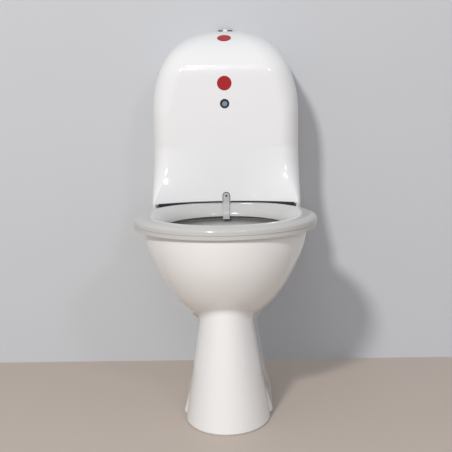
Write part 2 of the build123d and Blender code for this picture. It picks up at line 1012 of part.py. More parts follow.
with BuildPart() as latch_spring:
    post(
        0,
        latch_mid_y,
        guide_low_z + plate_thick,
        latch_high_z - latch_tall,
        latch_spring_r,
    )
    post(
        0,
        latch_mid_y,
        guide_low_z + plate_thick,
        latch_high_z - latch_tall,
        latch_spring_r - latch_spring_wire,
        mode=Mode.SUBTRACT,
    )
save(latch_spring, "latch_spring")

# Cistern, lid, flush valve and fill valve
tank_top_z = tank_low_z + tank_high
tank_floor_z = tank_low_z + tank_wall
with BuildPart() as cistern_tank:
    block(-tank_half, tank_half, tank_front_y, tank_rear_y, tank_low_z, tank_top_z)
    fillet(cistern_tank.edges().filter_by(Axis.Z), tank_corner)
    with BuildSketch(Plane.XY.offset(tank_floor_z)):
        with Locations((0, (tank_front_y + tank_rear_y) / 2)):
            RectangleRounded(
                2 * (tank_half - tank_wall),
                tank_rear_y - tank_front_y - 2 * tank_wall,
                tank_corner - tank_wall,
            )
    extrude(amount=tank_high, mode=Mode.SUBTRACT)
    post(
        0, flush_y, tank_low_z, tank_floor_z, valve_tail_r + seat_gap, mode=Mode.SUBTRACT
    )
    post(
        fill_x, fill_y, tank_low_z, tank_floor_z, inlet_shank_r + seat_gap, mode=Mode.SUBTRACT
    )
    for x in (board_in_x + board_edge, board_out_x - board_edge):
        for z in (board_low_z + board_edge, board_high_z - board_edge):
            with Locations(Location((x, tank_front_y, z), (90, 0, 0))):
                Cylinder(
                    board_boss_r, board_lift, align=(Align.CENTER, Align.CENTER, Align.MIN)
                )
save(cistern_tank, "cistern_tank")

with BuildPart() as cistern_lid:
    block(
        -tank_half,
        tank_half,
        tank_front_y,
        tank_rear_y,
        tank_top_z,
        tank_top_z + lid_thick,
    )
    fillet(cistern_lid.edges().filter_by(Axis.Z), tank_corner)
    lip_in = tank_wall + seat_gap
    with BuildSketch(Plane.XY.offset(tank_top_z - lid_skirt)):
        with Locations((0, (tank_front_y + tank_rear_y) / 2)):
            RectangleRounded(
                2 * (tank_half - lip_in),
                tank_rear_y - tank_front_y - 2 * lip_in,
                tank_corner - lip_in,
            )
            RectangleRounded(
                2 * (tank_half - lip_in - lid_thick),
                tank_rear_y - tank_front_y - 2 * (lip_in + lid_thick),
                tank_corner - lip_in - lid_thick,
                mode=Mode.SUBTRACT,
            )
    extrude(amount=lid_skirt)
    post(
        0,
        flush_y,
        tank_top_z,
        tank_top_z + lid_thick,
        overflow_r + seat_gap,
        mode=Mode.SUBTRACT,
    )
save(cistern_lid, "cistern_lid")

valve_seat_z = tank_floor_z + valve_flange_high
with BuildPart() as flush_valve:
    post(0, flush_y, valve_tail_end_z, tank_floor_z, valve_tail_r)
    post(0, flush_y, tank_floor_z, valve_seat_z, valve_flange_r)
    cage_top_z = valve_seat_z + cage_high
    with Locations((0, flush_y, valve_seat_z)):
        with PolarLocations(cage_mid_r, 3):
            Cylinder(cage_bar_r, cage_high, align=(Align.CENTER, Align.CENTER, Align.MIN))
    with BuildSketch(Plane.XY.offset(cage_top_z)):
        with Locations((0, flush_y)):
            Circle(cage_mid_r + cage_bar_r)
            Circle(cage_mid_r - cage_bar_r, mode=Mode.SUBTRACT)
    extrude(amount=cage_ring)
    post(
        0, flush_y, valve_tail_end_z, valve_seat_z, valve_bore_r, mode=Mode.SUBTRACT
    )
save(flush_valve, "flush_valve")

piston_low_z = valve_seat_z + piston_seal_thick
with BuildPart() as flush_seal:
    post(0, flush_y, valve_seat_z, piston_low_z, piston_r)
    post(0, flush_y, valve_seat_z, piston_low_z, piston_seal_in_r, mode=Mode.SUBTRACT)
save(flush_seal, "flush_seal")

with BuildPart() as flush_piston:
    post(0, flush_y, piston_low_z, piston_low_z + piston_thick, piston_r)
    post(0, flush_y, piston_low_z + piston_thick, overflow_top_z, overflow_r)
    post(0, flush_y, piston_low_z, overflow_top_z, overflow_bore_r, mode=Mode.SUBTRACT)
save(flush_piston, "flush_piston")

with BuildPart() as flush_actuator:
    lid_top_z = tank_top_z + lid_thick
    post(0, flush_y, lid_top_z, lid_top_z + actuator_high, actuator_r)
    fillet(flush_actuator.edges().group_by(Axis.Z)[-1], screw_head_r)
    post(
        0,
        flush_y,
        lid_top_z,
        lid_top_z + actuator_high - actuator_wall,
        overflow_r + seat_gap,
        mode=Mode.SUBTRACT,
    )
save(flush_actuator, "flush_actuator")

with BuildPart() as tail_nut:
    with BuildSketch(Plane.XY.offset(tank_low_z - tail_nut_high)):
        with Locations((0, flush_y)):
            RegularPolygon(tail_nut_r, 8)
            Circle(valve_tail_r, mode=Mode.SUBTRACT)
    extrude(amount=tail_nut_high)
save(tail_nut, "tail_nut")

with BuildPart() as tail_gasket:
    post(0, flush_y, 0, gasket_thick, gasket_r)
    post(0, flush_y, 0, gasket_thick, valve_tail_r, mode=Mode.SUBTRACT)
save(tail_gasket, "tail_gasket")

with BuildPart() as fill_valve:
    post(fill_x, fill_y, inlet_end_z, tank_floor_z, inlet_r)
    post(fill_x, fill_y, tank_low_z - inlet_nut_high, tank_floor_z, inlet_shank_r)
    post(fill_x, fill_y, tank_floor_z, tank_floor_z + fill_foot_high, fill_foot_r)
    post(fill_x, fill_y, tank_floor_z, tank_floor_z + fill_high, fill_r)
    fill_top_z = tank_floor_z + fill_high
    post(fill_x, fill_y, fill_top_z - fill_head_high, fill_top_z, fill_head_r)
    fillet(fill_valve.edges().group_by(Axis.Z)[-1], screw_head_r)
    post(
        fill_x,
        fill_y,
        inlet_end_z,
        fill_top_z - fill_head_high,
        inlet_bore_r,
        mode=Mode.SUBTRACT,
    )
save(fill_valve, "fill_valve")

with BuildPart() as float_cup:
    float_low_z = tank_floor_z + fill_foot_high
    post(fill_x, fill_y, float_low_z, float_low_z + float_high, float_r)
    fillet(float_cup.edges().group_by(Axis.Z)[-1], screw_head_r)
    post(
        fill_x,
        fill_y,
        float_low_z,
        float_low_z + float_high,
        fill_r + float_gap,
        mode=Mode.SUBTRACT,
    )
save(float_cup, "float_cup")

with BuildPart() as inlet_nut:
    with BuildSketch(Plane.XY.offset(tank_low_z - inlet_nut_high)):
        with Locations((fill_x, fill_y)):
            RegularPolygon(inlet_nut_r, 6)
            Circle(inlet_shank_r, mode=Mode.SUBTRACT)
    extrude(amount=inlet_nut_high)
save(inlet_nut, "inlet_nut")

# Fixed arm: a bent strip that follows the ring's dished inside, with a round head on the cover
arm_plane = Plane(origin=(-arm_half, 0, 0), x_dir=(0, 1, 0), z_dir=(1, 0, 0))
wiper_plane = Plane(origin=(-wiper_half, 0, 0), x_dir=(0, 1, 0), z_dir=(1, 0, 0))
arm_face_y = cover_front_y - arm_proud
arm_back_y = arm_face_y + arm_thick
arm_top_z = arm_head_z + arm_half


def dish_band(plane, near_gap, far_gap, back_y):
    """A band that follows the ring's dished inside between two gaps, seen from the side."""
    with BuildSketch(plane) as band:
        with Locations((seat_crest_r, seat_lip_z)):
            Ellipse(seat_in_wide + far_gap, seat_in_high + far_gap)
            Ellipse(seat_in_wide + near_gap, seat_in_high + near_gap, mode=Mode.SUBTRACT)
        with Locations((back_y, seat_lip_z)):
            Rectangle(
                2 * seat_in_wide,
                2 * seat_in_high,
                align=(Align.MAX, Align.MIN),
                mode=Mode.INTERSECT,
            )
    return band.sketch


with BuildPart() as guide_arm:
    extrude(
        dish_band(arm_plane, arm_gap, arm_gap + arm_thick, arm_back_y), amount=2 * arm_half
    )
    block(
        -arm_half,
        arm_half,
        arm_face_y,
        arm_back_y,
        seat_crest_z + arm_gap,
        arm_top_z,
    )
    arm_tip_y = seat_lip_r - arm_gap - arm_thick
    block(
        -arm_half,
        arm_half,
        arm_tip_y,
        arm_tip_y + arm_thick,
        seat_lip_z - arm_tip_drop,
        seat_lip_z,
    )
    head_edges = guide_arm.edges().filter_by(Axis.Y).group_by(Axis.Z)[-1]
    fillet(head_edges, arm_half - run_gap)
    with Locations(Location((0, arm_back_y, arm_head_z), (-90, 0, 0))):
        Cylinder(
            arm_boss_r,
            box_front_y - arm_back_y,
            align=(Align.CENTER, Align.CENTER, Align.MIN),
        )
    with Locations(Location((0, arm_face_y, arm_head_z), (-90, 0, 0))):
        Cylinder(
            arm_screw_r,
            arm_screw_long,
            align=(Align.CENTER, Align.CENTER, Align.MIN),
            mode=Mode.SUBTRACT,
        )
save(guide_arm, "guide_arm")

with BuildPart() as arm_screw:
    with Locations(Location((0, arm_face_y, arm_head_z), (-90, 0, 0))):
        Cylinder(
            arm_screw_r, arm_screw_long, align=(Align.CENTER, Align.CENTER, Align.MIN)
        )
        Cylinder(
            arm_screw_head_r,
            arm_screw_head_high,
            align=(Align.CENTER, Align.CENTER, Align.MAX),
        )
save(arm_screw, "arm_screw")

with BuildPart() as wiper_pad:
    extrude(
        dish_band(wiper_plane, wiper_clear, arm_gap, arm_back_y - arm_thick),
        amount=2 * wiper_half,
    )
save(wiper_pad, "wiper_pad")


# Cover: an arched dome over straight sides, whose front dishes between two spreading ridges
def cover_section(z, ridge, middle_y, side, half, rear_y):
    """Plan of the cover at one height, through its ridge, front middle, side and wall."""
    edge_wide = side[0] - ridge[0]
    edge_deep = side[1] - ridge[1]
    with BuildSketch(Plane.XY.offset(z)) as section:
        with BuildLine():
            if ridge[1] < middle_y:
                ThreePointArc((-ridge[0], ridge[1]), (0, middle_y), ridge)
            else:
                Line((-ridge[0], ridge[1]), ridge)
            EllipticalCenterArc((ridge[0], side[1]), edge_wide, edge_deep, 270, arc_size=90)
            Line(side, (half, rear_y))
            Line((half, rear_y), (-half, rear_y))
            Line((-half, rear_y), (-side[0], side[1]))
            EllipticalCenterArc((-ridge[0], side[1]), edge_wide, edge_deep, 180, arc_size=90)
        make_face()
    return section.sketch


def cover_form(inset):
    """The cover's filled form, drawn in by an inset on its front, sides and top."""
    front_y = cover_front_y + inset
    rear_y = wall_y + (overrun if inset else 0)
    flat_half = cover_half - cover_edge_wide
    foot_sections = []
    for rise_share, spread in zip(cover_rise_shares, cover_spread_shares):
        ridge_x = flat_half + (ridge_half - flat_half) * spread - inset
        ridge_y = front_y - ridge_forward * spread
        side_x = cover_half + (corner_half - cover_half) * spread - inset
        side_y = ridge_y + cover_edge_deep + (corner_deep - cover_edge_deep) * spread
        foot_sections.append(
            cover_section(
                cover_low_z + (cover_straight_z - cover_low_z) * rise_share,
                (ridge_x, ridge_y),
                front_y,
                (side_x, side_y),
                cover_wall_half + cover_flare * spread - inset,
                rear_y,
            )
        )
    crown_half = cover_half - inset
    dome_high = cover_dome_high - inset
    roll_high = spring_z + dome_high - cover_roll_z
    dome_shares = [step / cover_dome_steps for step in range(cover_dome_steps)]
    dome_sections = []
    for dome_share in dome_shares + [cover_dome_end_share]:
        z = spring_z + dome_high * sin(dome_share * pi / 2)
        shrink = cos(dome_share * pi / 2) ** cover_dome_power_share
        edge_share = cover_edge_wide / cover_half
        edge_share += (cover_edge_top_share - edge_share) * dome_share
        ridge_y = front_y
        if z > cover_roll_z:
            rolled = sqrt(1 - ((z - cover_roll_z) / roll_high) ** 2)
            ridge_y += (cover_roll_deep - inset) * (1 - rolled)
        dome_sections.append(
            cover_section(
                z,
                ((cover_half * (1 - edge_share) - inset) * shrink, ridge_y),
                ridge_y,
                (crown_half * shrink, ridge_y + cover_edge_deep),
                (cover_wall_half - inset) * shrink,
                rear_y,
            )
        )
    with BuildPart() as form:
        loft(sections=foot_sections)
        extrude(foot_sections[-1], amount=spring_z - cover_straight_z)
        loft(sections=dome_sections)
        if inset:
            extrude(foot_sections[0], amount=-overrun)
    return form.part


# Where the top button stands on the dome, and the way it faces
button_back = cover_roll_deep - top_button_back
roll_high = crown_z - cover_roll_z
button_rise = roll_high * sqrt(1 - (button_back / cover_roll_deep) ** 2)
top_button_z = cover_roll_z + button_rise
front_plane = Plane(
    origin=(0, cover_front_y, front_button_z), x_dir=(1, 0, 0), z_dir=(0, -1, 0)
)
top_plane = Plane(
    origin=(0, top_button_y, top_button_z),
    x_dir=(1, 0, 0),
    z_dir=(0, -button_back / cover_roll_deep**2, button_rise / roll_high**2),
)

slot_z = seat_crest_z + slot_gap
with BuildPart() as cover:
    add(cover_form(0))
    add(cover_form(cover_wall), mode=Mode.SUBTRACT)
    post(0, 0, cover_low_z - overrun, slot_z, slot_r, mode=Mode.SUBTRACT)
    with BuildSketch(Plane.XZ.offset(-cover_front_y - overrun)):
        with Locations((0, arm_head_z)):
            Circle(arm_half + notch_gap)
            Rectangle(
                2 * (arm_half + notch_gap),
                arm_head_z - slot_z + notch_fillet,
                align=(Align.CENTER, Align.MAX),
            )
    extrude(amount=2 * overrun, mode=Mode.SUBTRACT)
    with Locations(front_plane):
        Cylinder(front_button_r + button_gap, 2 * overrun, mode=Mode.SUBTRACT)
    with Locations(top_plane):
        Cylinder(top_button_r + button_gap, 2 * overrun, mode=Mode.SUBTRACT)
    with Locations(Plane(origin=(0, cover_front_y, sensor_z), z_dir=(0, -1, 0))):
        Cylinder(sensor_r + seat_gap, 2 * overrun, mode=Mode.SUBTRACT)
    block(
        -latch_slot_half,
        latch_slot_half,
        wall_y - latch_slot_deep,
        wall_y + overrun,
        crown_z - latch_slot_low,
        crown_z + overrun,
        mode=Mode.SUBTRACT,
    )
    for side in (-1, 1):
        low_x, high_x = sorted((side * hook_in_x, side * hook_out_x))
        block(
            low_x,
            high_x,
            wall_y - hook_before,
            wall_y - hook_behind,
            upright_top_z + seat_gap,
            upright_top_z + seat_gap + hook_thick,
        )
    with Locations(Location((cover_half, gland_y, gland_z), (0, 90, 0))):
        Cylinder(cord_hole_r, 2 * overrun, mode=Mode.SUBTRACT)
save(cover, "cover")


# Push buttons: cap, return dome, guide sleeve and switch, built on the plane of each face
def make_button(plane, radius, drop):
    """The cap, dome, sleeve and switch of one button, pressed along the plane's normal."""
    cap_low = button_proud - button_thick
    stem_low = cap_low - button_stem_long
    sleeve_top = -cover_wall - run_gap - drop
    pin_top = stem_low - button_travel - button_clear
    sleeve_low = pin_top - button_clear
    with BuildPart(plane) as cap:
        with Locations((0, 0, cap_low)):
            Cylinder(radius, button_thick, align=(Align.CENTER, Align.CENTER, Align.MIN))
        fillet(cap.edges().sort_by_distance(plane.origin + plane.z_dir * seat_r)[0], button_gap)
        with Locations((0, 0, stem_low)):
            Cylinder(
                button_stem_r,
                button_stem_long,
                align=(Align.CENTER, Align.CENTER, Align.MIN),
            )
    with BuildPart(plane) as dome:
        with Locations((0, 0, cap_low - dome_high)):
            Cone(
                dome_r,
                button_stem_r + dome_thick,
                dome_high,
                align=(Align.CENTER, Align.CENTER, Align.MIN),
            )
            Cylinder(
                button_stem_r,
                dome_high,
                align=(Align.CENTER, Align.CENTER, Align.MIN),
                mode=Mode.SUBTRACT,
            )
    with BuildPart(plane) as sleeve:
        with Locations((0, 0, sleeve_low)):
            Cylinder(
                radius + button_gap + sleeve_wall,
                sleeve_top - sleeve_low,
                align=(Align.CENTER, Align.CENTER, Align.MIN),
            )
        with Locations((0, 0, sleeve_low + sleeve_floor)):
            Cylinder(
                radius + button_gap,
                sleeve_top - sleeve_low,
                align=(Align.CENTER, Align.CENTER, Align.MIN),
                mode=Mode.SUBTRACT,
            )
        with Locations((0, 0, sleeve_low)):
            Cylinder(
                button_stem_r + button_clear,
                sleeve_floor,
                align=(Align.CENTER, Align.CENTER, Align.MIN),
                mode=Mode.SUBTRACT,
            )
    with BuildPart(plane) as switch:
        with Locations((0, 0, sleeve_low)):
            Box(
                2 * switch_half,
                2 * switch_half,
                switch_deep,
                align=(Align.CENTER, Align.CENTER, Align.MAX),
            )
            Cylinder(
                switch_pin_r,
                pin_top - sleeve_low,
                align=(Align.CENTER, Align.CENTER, Align.MIN),
            )
    return cap, dome, sleeve, switch


for prefix, plane, radius, drop in (
    ("front", front_plane, front_button_r, 0),
    ("top", top_plane, top_button_r, top_button_drop),
):
    cap, dome, sleeve, switch = make_button(plane, radius, drop)
    save(cap, prefix + "_button")
    save(dome, prefix + "_button_dome")
    save(sleeve, prefix + "_button_sleeve")
    save(switch, prefix + "_switch")

# Presence sensor behind the cover's front
sensor_plane = Plane(origin=(0, cover_front_y, sensor_z), x_dir=(1, 0, 0), z_dir=(0, -1, 0))
with BuildPart(sensor_plane) as sensor_housing:
    with Locations((0, 0, sensor_proud)):
        Cylinder(sensor_r, sensor_deep, align=(Align.CENTER, Align.CENTER, Align.MAX))
        Cylinder(
            sensor_window_r,
            2 * sensor_glass,
            align=(Align.CENTER, Align.CENTER, Align.MAX),
            mode=Mode.SUBTRACT,
        )
    with Locations((0, 0, -cover_wall - run_gap)):
        Cylinder(
            sensor_r + sleeve_wall,
            sleeve_floor,
            align=(Align.CENTER, Align.CENTER, Align.MAX),
        )
save(sensor_housing, "sensor_housing")

with BuildPart(sensor_plane) as sensor_window:
    with Locations((0, 0, sensor_proud - 2 * sensor_glass)):
        Cylinder(sensor_window_r, sensor_glass, align=(Align.CENTER, Align.CENTER, Align.MIN))
save(sensor_window, "sensor_window")

# Cleaning fluid bottle, pump and tubes
stand_top_z = stand_z + chassis_sheet
bottle_top_z = stand_top_z + bottle_high
bottle_mid_x = -(bottle_in_x + bottle_out_x) / 2
bottle_front_y = stand_mid_y - bottle_deep / 2
neck_top_z = bottle_top_z + bottle_neck_high
with BuildPart() as fluid_bottle:
    block(
        -bottle_out_x,
        -bottle_in_x,
        bottle_front_y,
        bottle_front_y + bottle_deep,
        stand_top_z,
        bottle_top_z,
    )
    fillet(fluid_bottle.edges().filter_by(Axis.Z), bottle_corner)
    fillet(fluid_bottle.edges().group_by(Axis.Z)[-1], bottle_corner / 2)
    post(bottle_mid_x, stand_mid_y, bottle_top_z, neck_top_z, bottle_neck_r)
save(fluid_bottle, "fluid_bottle")

with BuildPart() as bottle_cap:
    cap_low_z = neck_top_z + cap_wall - cap_high
    post(bottle_mid_x, stand_mid_y, cap_low_z, neck_top_z + cap_wall, cap_r)
    post(
        bottle_mid_x,
        stand_mid_y,
        cap_low_z,
        neck_top_z,
        bottle_neck_r + seat_gap,
        mode=Mode.SUBTRACT,
    )
save(bottle_cap, "bottle_cap")

pump_body_z = stand_top_z + pump_high
pump_top_z = pump_body_z + pump_head_high
with BuildPart() as dosing_pump:
    block(
        pump_x - pump_half,
        pump_x + pump_half,
        stand_mid_y - pump_half,
        stand_mid_y + pump_half,
        stand_top_z,
        pump_body_z,
    )
    post(pump_x, stand_mid_y, pump_body_z, pump_top_z, pump_head_r)
save(dosing_pump, "dosing_pump")


def tube(name, *points):
    """A flexible tube along straight runs joined by round bends."""
    with BuildPart() as piece:
        with BuildLine() as path:
            FilletPolyline(*points, radius=tube_bend_r)
        with BuildSketch(Plane(path.line @ 0, z_dir=path.line % 0)):
            Circle(tube_r)
            Circle(tube_bore_r, mode=Mode.SUBTRACT)
        sweep(path=path.line)
    save(piece, name)


suction_x = pump_x + pump_head_r / 2
wash_x = pump_x - pump_head_r / 2
wash_y = arm_back_y + (box_front_y - arm_back_y) / 2
wash_z = pump_top_z + tube_bend_r + tube_r
tube(
    "suction_tube",
    (bottle_mid_x, stand_mid_y, neck_top_z + cap_wall),
    (bottle_mid_x, stand_mid_y, tube_top_z),
    (suction_x, stand_mid_y, tube_top_z),
    (suction_x, stand_mid_y, pump_top_z),
)
tube(
    "wash_tube",
    (wash_x, stand_mid_y, pump_top_z),
    (wash_x, stand_mid_y, wash_z),
    (wash_x, wash_y, wash_z),
    (0, wash_y, wash_z),
    (0, wash_y, arm_head_z + arm_boss_r),
)

# Power supply, control board and mains gland
with BuildPart() as power_supply:
    block(
        power_in_x,
        power_out_x,
        stand_mid_y - power_deep / 2,
        stand_mid_y + power_deep / 2,
        stand_top_z,
        stand_top_z + power_high,
    )
    fillet(power_supply.edges().filter_by(Axis.Z), screw_head_r)
save(power_supply, "power_supply")

board_rear_y = tank_front_y - board_lift
board_front_y = board_rear_y - board_thick
board_mid_x = (board_in_x + board_out_x) / 2
board_mid_z = (board_low_z + board_high_z) / 2
with BuildPart() as control_board:
    block(
        board_in_x, board_out_x, board_front_y, board_rear_y, board_low_z, board_high_z
    )
    block(
        board_mid_x - chip_half,
        board_mid_x + chip_half,
        board_front_y - chip_high,
        board_front_y,
        board_mid_z,
        board_mid_z + 2 * chip_half,
    )
    for side in (-1, 1):
        x = board_mid_x + side * 2 * relay_half
        block(
            x - relay_half,
            x + relay_half,
            board_front_y - relay_high,
            board_front_y,
            board_mid_z - 4 * relay_half,
            board_mid_z - 2 * relay_half,
        )
save(control_board, "control_board")

with BuildPart() as board_screws:
    for x in (board_in_x + board_edge, board_out_x - board_edge):
        for z in (board_low_z + board_edge, board_high_z - board_edge):
            with Locations(Location((x, board_front_y, z), (90, 0, 0))):
                Cylinder(
                    screw_head_r,
                    screw_head_high,
                    align=(Align.CENTER, Align.CENTER, Align.MIN),
                )
save(board_screws, "board_screws")

gland_plane = Plane(origin=(chassis_half, gland_y, gland_z), z_dir=(1, 0, 0))
with BuildPart(gland_plane) as cable_gland:
    Cylinder(gland_r, gland_long, align=(Align.CENTER, Align.CENTER, Align.MIN))
    fillet(cable_gland.edges().group_by(Axis.X)[-1], screw_head_r)
    Cylinder(
        gland_bore_r,
        gland_long,
        align=(Align.CENTER, Align.CENTER, Align.MIN),
        mode=Mode.SUBTRACT,
    )
save(cable_gland, "cable_gland")
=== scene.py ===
"""Looks, stage and camera of the automatic toilet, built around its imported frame."""

import json
import math

import bpy
from mathutils import Matrix, Vector


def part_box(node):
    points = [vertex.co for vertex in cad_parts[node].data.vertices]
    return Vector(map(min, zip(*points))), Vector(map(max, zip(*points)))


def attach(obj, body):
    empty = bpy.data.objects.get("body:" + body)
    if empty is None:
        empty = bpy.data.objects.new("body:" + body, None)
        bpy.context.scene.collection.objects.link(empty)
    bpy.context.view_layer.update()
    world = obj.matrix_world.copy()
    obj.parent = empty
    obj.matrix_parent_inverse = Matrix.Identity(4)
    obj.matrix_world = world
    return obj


bl_info = {
    "name": "Automatic toilet",
    "version": (1, 0, 0),
    "blender": (4, 5, 0),
    "location": "3D View > Sidebar > Toilet",
    "description": "Finishes the packed toilet and sets up its stage, lamps and camera",
    "category": "Object",
}

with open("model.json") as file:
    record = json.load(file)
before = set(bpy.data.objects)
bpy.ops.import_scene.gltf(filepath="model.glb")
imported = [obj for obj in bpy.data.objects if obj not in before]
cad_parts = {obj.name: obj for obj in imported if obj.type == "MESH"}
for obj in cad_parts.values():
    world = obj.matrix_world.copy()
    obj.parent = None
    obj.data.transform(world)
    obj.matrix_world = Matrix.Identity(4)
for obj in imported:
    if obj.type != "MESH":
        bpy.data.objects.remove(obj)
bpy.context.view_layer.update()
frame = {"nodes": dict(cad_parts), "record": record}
WALL_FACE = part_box("back_plate")[1].y
RIM_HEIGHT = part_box("pan")[1].z
# What is higher than this on the back plate is the catch's lip over the cover's crest
CREST_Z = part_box("cover")[1].z - 0.002
# Where the bowl's hollow is: its middle, how far its wall reaches, and its lowest wall
BOWL_Y = -0.1
BOWL_REACH = 0.155
BOWL_LOW_Z = 0.215
# A dark strip on the cover's front edge, painted shadow that darkens the slot's gap: where each
# half runs, its thickness and its heights
SLOT_SHADOW_INNER = 0.0105
SLOT_SHADOW_OUTER = 0.157
SLOT_SHADOW_THICK = 0.0008
SLOT_SHADOW_TOP_Z = RIM_HEIGHT + 0.0323
SLOT_SHADOW_LOW_Z = RIM_HEIGHT + 0.0248
SLOT_SHADOW_GAP = 0.0005
SLOT_SHADOW_STEPS = 60
SLOT_SHADOW_SMOOTH_ANGLE = math.radians(40)
# Lines that look for the cover's front start at this depth, well in front of it
RAY_START_Y = -0.5
# The painted shade inside the bowl: how far below the rim it starts and is full, and its level
BOWL_SHADE_START = 0.03
BOWL_SHADE_FULL = 0.008
BOWL_SHADE_LEVEL = 0.16
# Places of a Mix node's two colours among its inputs, and of its colour among its outputs
MIX_A = 6
MIX_B = 7
MIX_RESULT = 2
# The stage: the width of the floor and wall, and the height of the wall
STAGE_WIDTH = 16
WALL_TALL = 5.01
WALL_MIDDLE_Z = 2.5
WORLD_LIGHT = "#F2F5FA"
WORLD_LEVEL = 0.52
# The lamps: name, place, width, height, watts and colour
LAMPS = (
    ("key_lamp", (-1.5, -4.4, 3.45), 0.5, 0.5, 162, "#FFFDFA"),
    ("right_lamp", (1.8, -4.2, 3.1), 0.5, 0.5, 18, "#F4F8FF"),
    # Three tall narrow lamps make the soft glints across the dome
    ("left_window_lamp", (-0.34, -4.5, 3.5), 0.1, 1.6, 4.6, "#FFFFFF"),
    ("centre_window_lamp", (-0.15, -4.5, 3.5), 0.1, 1.6, 1.2, "#FFFFFF"),
    ("right_window_lamp", (0.06, -4.5, 3.5), 0.1, 1.6, 1.2, "#FFFFFF"),
)


def linear(hex_colour):
    """Linear red, green, blue and alpha of an sRGB hex colour."""
    levels = [int(hex_colour[place:place + 2], 16) / 255 for place in (1, 3, 5)]
    return [v / 12.92 if v <= 0.04045 else ((v + 0.055) / 1.055) ** 2.4 for v in levels] + [1.0]


def colour_property(name, description, hex_colour):
    """A colour that a user can change, with its default as an sRGB hex value."""
    return bpy.props.FloatVectorProperty(
        name=name,
        description=description,
        default=linear(hex_colour),
        size=4,
        subtype="COLOR",
        min=0.0,
        max=1.0,
    )


def length_property(name, description, metres):
    """A length that a user can change, in metres."""
    return bpy.props.FloatProperty(
        name=name, description=description, default=metres, unit="LENGTH", precision=4
    )


class ToiletColours(bpy.types.PropertyGroup):
    china: colour_property("China", "Glazed body of the pan", "#EEEDEC")
    cover: colour_property("Cover", "White moulded cover", "#EDEDEE")
    seat: colour_property("Seat", "Grey ring and its tray", "#C6C5C3")
    red: colour_property("Buttons", "Both red buttons", "#AC242A")
    arm: colour_property("Arm", "Painted arm over the ring", "#BDBCBD")
    sensor_rim: colour_property("Sensor rim", "Dark ring of the sensor", "#1C232D")
    sensor_window: colour_property("Sensor window", "Tinted window of the sensor", "#8D9CAE")
    wall: colour_property("Wall", "Painted wall of the stage", "#C9CBCF")
    floor: colour_property("Floor", "Floor of the stage", "#C3B6AB")


class ToiletStage(bpy.types.PropertyGroup):
    camera_place: bpy.props.FloatVectorProperty(
        name="Camera place",
        description="Where the camera stands",
        default=(0.0526, -2.438, 0.7927),
        subtype="TRANSLATION",
        unit="LENGTH",
    )
    pitch: bpy.props.FloatProperty(
        name="Pitch",
        description="How far the camera looks down",
        default=math.radians(9.10),
        unit="ROTATION",
    )
    yaw: bpy.props.FloatProperty(
        name="Yaw",
        description="How far the camera turns to the right",
        default=math.radians(-1.25),
        unit="ROTATION",
    )
    roll: bpy.props.FloatProperty(
        name="Roll",
        description="How far the picture leans",
        default=math.radians(1.08),
        unit="ROTATION",
    )
    focal_pixels: bpy.props.FloatProperty(
        name="Focal length in pixels",
        description="Focal length of the camera, in pixels of the picture",
        default=1080.9,
    )
    picture_side: bpy.props.IntProperty(
        name="Picture side",
        description="Width and height of the picture, in pixels",
        default=452,
        subtype="PIXEL",
    )
    clearance: length_property("Clearance", "Gap from the object to the floor and wall", 0.0006)


def add_node(tree, kind, settings=None, inputs=None, links=None):
    """Adds a node, sets its properties and sockets, and links its inputs to other nodes."""
    made = tree.nodes.new(kind)
    for name, value in (settings or {}).items():
        setattr(made, name, value)
    for socket, value in (inputs or {}).items():
        made.inputs[socket].default_value = value
    for socket, (source, output) in (links or {}).items():
        tree.links.new(source.outputs[output], made.inputs[socket])
    return made


def new_material(name):
    """An empty node material and its tree."""
    material = bpy.data.materials.new(name)
    material.use_nodes = True
    material.node_tree.nodes.clear()
    return material, material.node_tree


def finish_material(name, colour, shader, pattern_mm, relief_mm, tone, tone_mm):
    """A finish with a fine relief and a slow change of tone, both of a real size.

    pattern_mm and relief_mm are the width and height of the relief, tone is how much
    darker the darkest patches are, and tone_mm is how wide they are.
    """
    material, tree = new_material(name)
    place = add_node(tree, "ShaderNodeTexCoord")
    patches = add_node(
        tree,
        "ShaderNodeTexNoise",
        inputs={"Scale": 1000 / tone_mm, "Detail": 3.0, "Roughness": 0.55},
        links={"Vector": (place, "Object")},
    )
    dark = [channel * (1 - tone) for channel in colour[:3]] + [1.0]
    tint = add_node(
        tree,
        "ShaderNodeMix",
        settings={"data_type": "RGBA"},
        links={"Factor": (patches, "Fac")},
    )
    tint.inputs[MIX_A].default_value = dark
    tint.inputs[MIX_B].default_value = colour
    grain = add_node(
        tree,
        "ShaderNodeTexNoise",
        inputs={"Scale": 1000 / pattern_mm, "Detail": 2.0, "Roughness": 0.5},
        links={"Vector": (place, "Object")},
    )
    relief = add_node(
        tree,
        "ShaderNodeBump",
        inputs={"Strength": 1.0, "Distance": relief_mm / 1000},
        links={"Height": (grain, "Fac")},
    )
    body = add_node(
        tree,
        "ShaderNodeBsdfPrincipled",
        inputs=shader,
        links={"Normal": (relief, "Normal")},
    )
    tree.links.new(tint.outputs[MIX_RESULT], body.inputs["Base Color"])
    add_node(tree, "ShaderNodeOutputMaterial", links={"Surface": (body, "BSDF")})
    return material


def dress(node_name, material):
    """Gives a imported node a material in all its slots."""
    mesh = frame["nodes"][node_name].data
    mesh.materials.clear()
    mesh.materials.append(material)
    for face in mesh.polygons:
        face.material_index = 0


